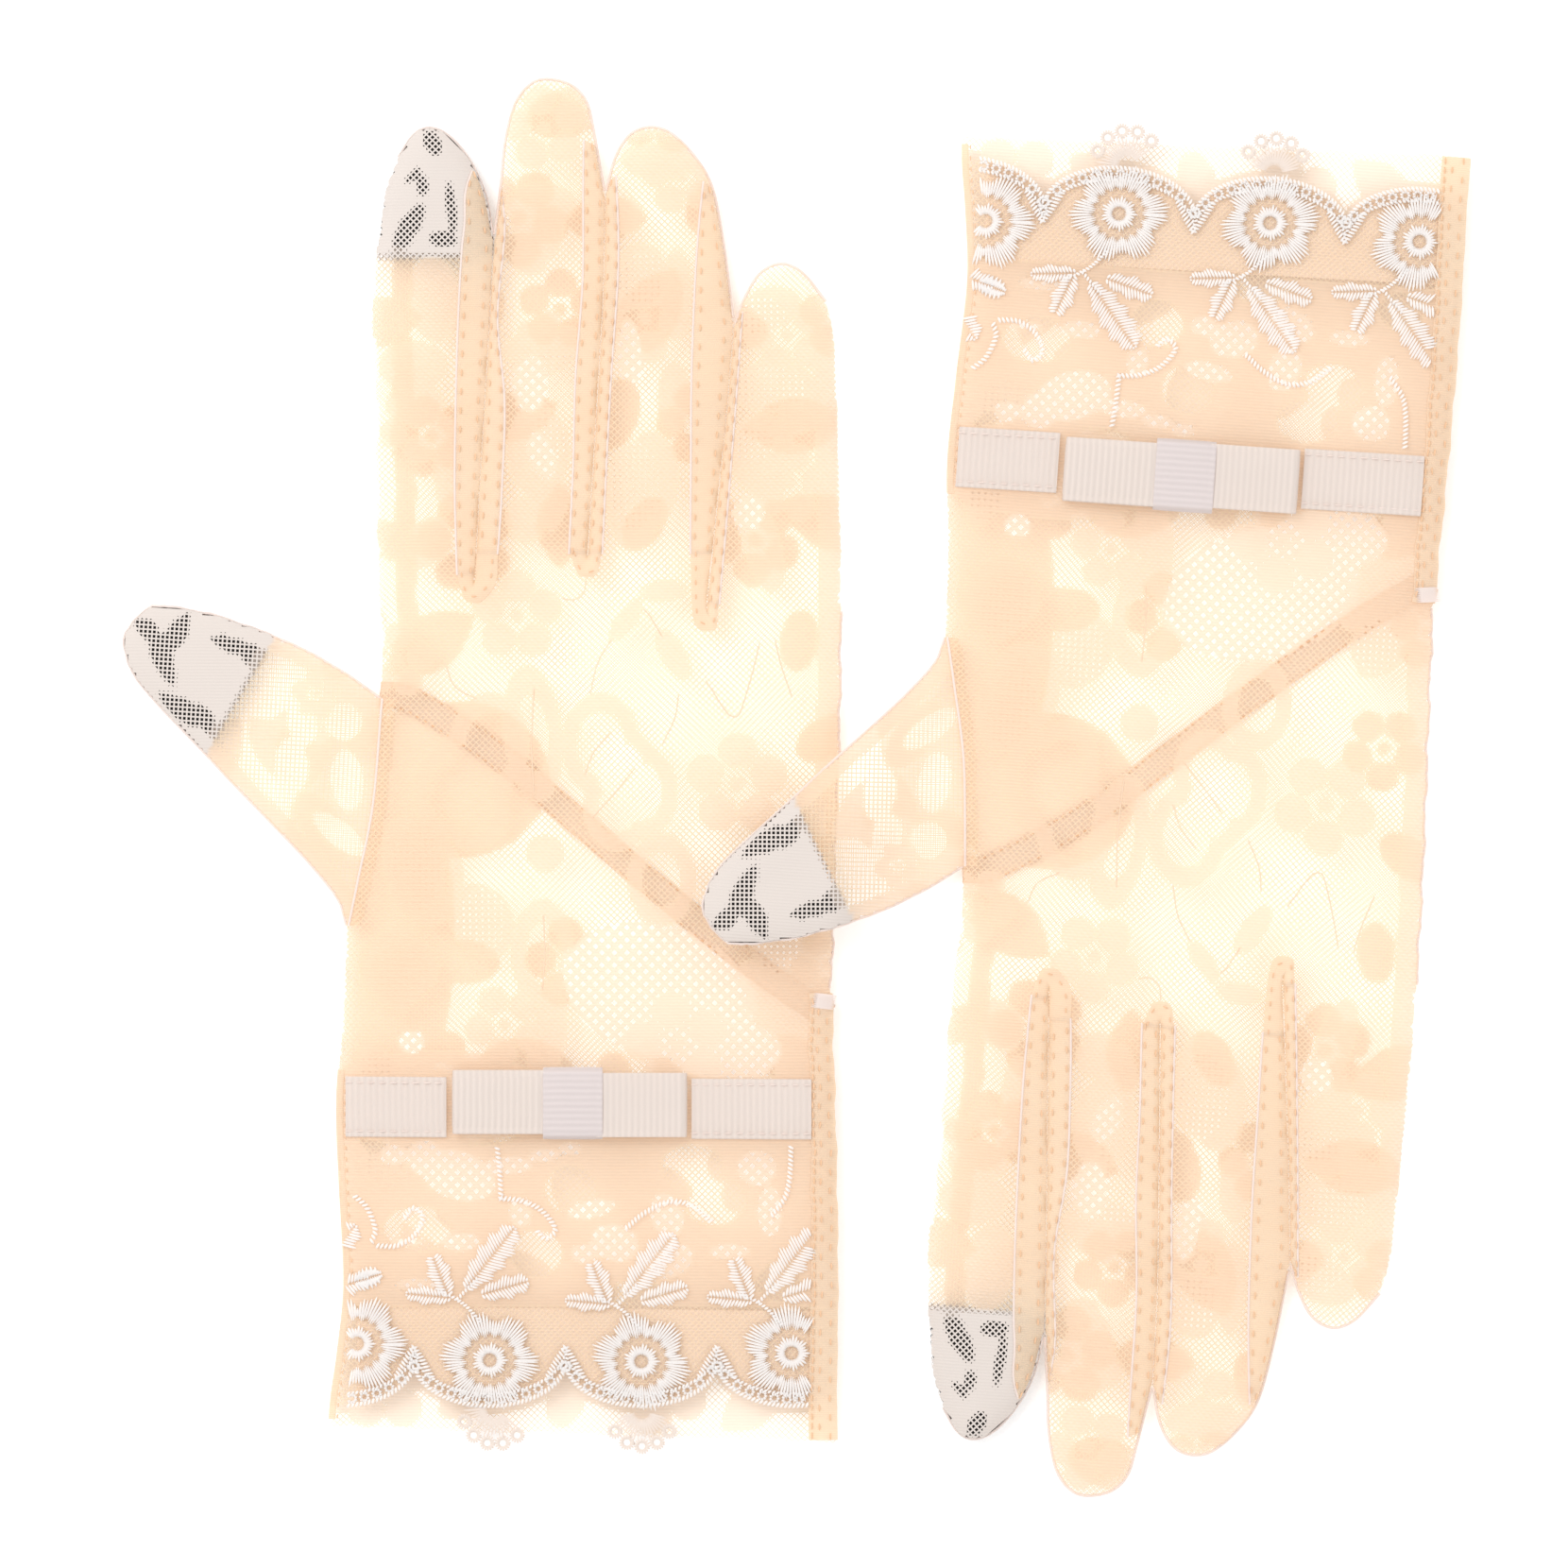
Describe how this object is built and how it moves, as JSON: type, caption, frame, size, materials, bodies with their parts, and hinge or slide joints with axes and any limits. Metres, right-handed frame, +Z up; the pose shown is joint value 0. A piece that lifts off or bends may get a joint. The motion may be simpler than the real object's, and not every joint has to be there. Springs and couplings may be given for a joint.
{
  "type": "pair of lace gloves",
  "caption": "Pair of short sheer lace dress gloves lying flat, with ribbon and bow at the wrist, scalloped embroidered cuffs and touch-screen fingertips.",
  "frame": {"origin": "on the table under the middle of the pair's box", "axes": "+Z up from the table, +Y along the right glove from its cuff to its fingertips, +X from the right glove towards the left glove"},
  "size_m": [0.2286, 0.2396, 0.0146],
  "materials": {
    "lace": "sheer knitted lace",
    "fourchette_net": "plain net",
    "double_net": "net, two layers",
    "binding": "soft satin",
    "grosgrain": "ribbed, low sheen",
    "embroidery": "satin stitch",
    "touch_lining": "matte knit"
  },
  "bodies": {
    "right_hand": {"right_back_panel": "lace", "right_palm_panel": "lace", "right_heel_panel": "lace", "right_palm_seam_tape": "binding", "right_cuff_back": "lace", "right_cuff_palm": "lace", "right_ribbon_thumb_side": "grosgrain", "right_ribbon_little_side": "grosgrain", "right_bow_loops": "grosgrain", "right_bow_wrap": "grosgrain", "right_cuff_border": "embroidery", "right_cuff_hem_band": "double_net", "right_side_binding": "binding", "right_thumb_side_binding": "binding"},
    "right_index": {"right_index_back": "lace", "right_index_palm": "lace", "right_index_fourchette": "fourchette_net", "right_index_touch_lining": "touch_lining"},
    "right_middle": {"right_middle_back": "lace", "right_middle_palm": "lace", "right_middle_fourchette": "fourchette_net"},
    "right_ring": {"right_ring_back": "lace", "right_ring_palm": "lace", "right_ring_fourchette": "fourchette_net"},
    "right_little": {"right_little_back": "lace", "right_little_palm": "lace", "right_little_fourchette": "fourchette_net"},
    "right_thumb": {"right_thumb_sleeve": "lace", "right_thumb_touch_lining": "touch_lining"},
    "left_hand": {"left_back_panel": "lace", "left_palm_panel": "lace", "left_heel_panel": "lace", "left_palm_seam_tape": "binding", "left_cuff_back": "lace", "left_cuff_palm": "lace", "left_ribbon_thumb_side": "grosgrain", "left_ribbon_little_side": "grosgrain", "left_bow_loops": "grosgrain", "left_bow_wrap": "grosgrain", "left_cuff_border": "embroidery", "left_cuff_hem_band": "double_net", "left_side_binding": "binding", "left_thumb_side_binding": "binding"},
    "left_index": {"left_index_back": "lace", "left_index_palm": "lace", "left_index_fourchette": "fourchette_net", "left_index_touch_lining": "touch_lining"},
    "left_middle": {"left_middle_back": "lace", "left_middle_palm": "lace", "left_middle_fourchette": "fourchette_net"},
    "left_ring": {"left_ring_back": "lace", "left_ring_palm": "lace", "left_ring_fourchette": "fourchette_net"},
    "left_little": {"left_little_back": "lace", "left_little_palm": "lace", "left_little_fourchette": "fourchette_net"},
    "left_thumb": {"left_thumb_sleeve": "lace", "left_thumb_touch_lining": "touch_lining"}
  },
  "joints": [
    {"name": "right_index_fold", "type": "hinge", "parent": "right_hand", "child": "right_index", "pos_m": [-0.06322, 0.03593, 0.007], "axis": [1, 0, 0], "range_deg": [0, 60]},
    {"name": "right_middle_fold", "type": "hinge", "parent": "right_hand", "child": "right_middle", "pos_m": [-0.04542, 0.03943, 0.007], "axis": [1, 0, 0], "range_deg": [0, 60]},
    {"name": "right_ring_fold", "type": "hinge", "parent": "right_hand", "child": "right_ring", "pos_m": [-0.02572, 0.03943, 0.007], "axis": [1, 0, 0], "range_deg": [0, 60]},
    {"name": "right_little_fold", "type": "hinge", "parent": "right_hand", "child": "right_little", "pos_m": [-0.00462, 0.03093, 0.007], "axis": [1, 0, 0], "range_deg": [0, 60]},
    {"name": "right_thumb_fold", "type": "hinge", "parent": "right_hand", "child": "right_thumb", "pos_m": [-0.07372, -0.00407, 0.007], "axis": [0.1338, 0.991, 0], "range_deg": [0, 50]},
    {"name": "left_index_fold", "type": "hinge", "parent": "left_hand", "child": "left_index", "pos_m": [0.03386, -0.03463, 0.007], "axis": [-0.9976, 0.0698, 0], "range_deg": [0, 60]},
    {"name": "left_middle_fold", "type": "hinge", "parent": "left_hand", "child": "left_middle", "pos_m": [0.05137, -0.03937, 0.007], "axis": [-0.9976, 0.0698, 0], "range_deg": [0, 60]},
    {"name": "left_ring_fold", "type": "hinge", "parent": "left_hand", "child": "left_ring", "pos_m": [0.07103, -0.04074, 0.007], "axis": [-0.9976, 0.0698, 0], "range_deg": [0, 60]},
    {"name": "left_little_fold", "type": "hinge", "parent": "left_hand", "child": "left_little", "pos_m": [0.09267, -0.03373, 0.007], "axis": [-0.9976, 0.0698, 0], "range_deg": [0, 60]},
    {"name": "left_thumb_fold", "type": "hinge", "parent": "left_hand", "child": "left_thumb", "pos_m": [0.02618, 0.006, 0.007], "axis": [-0.0643, 0.9979, 0], "range_deg": [0, 50]},
    {"name": "left_glove_lift", "type": "slide", "parent": "right_hand", "child": "left_hand", "axis": [0, 0, 1], "range_m": [0, 0.05]}
  ]
}
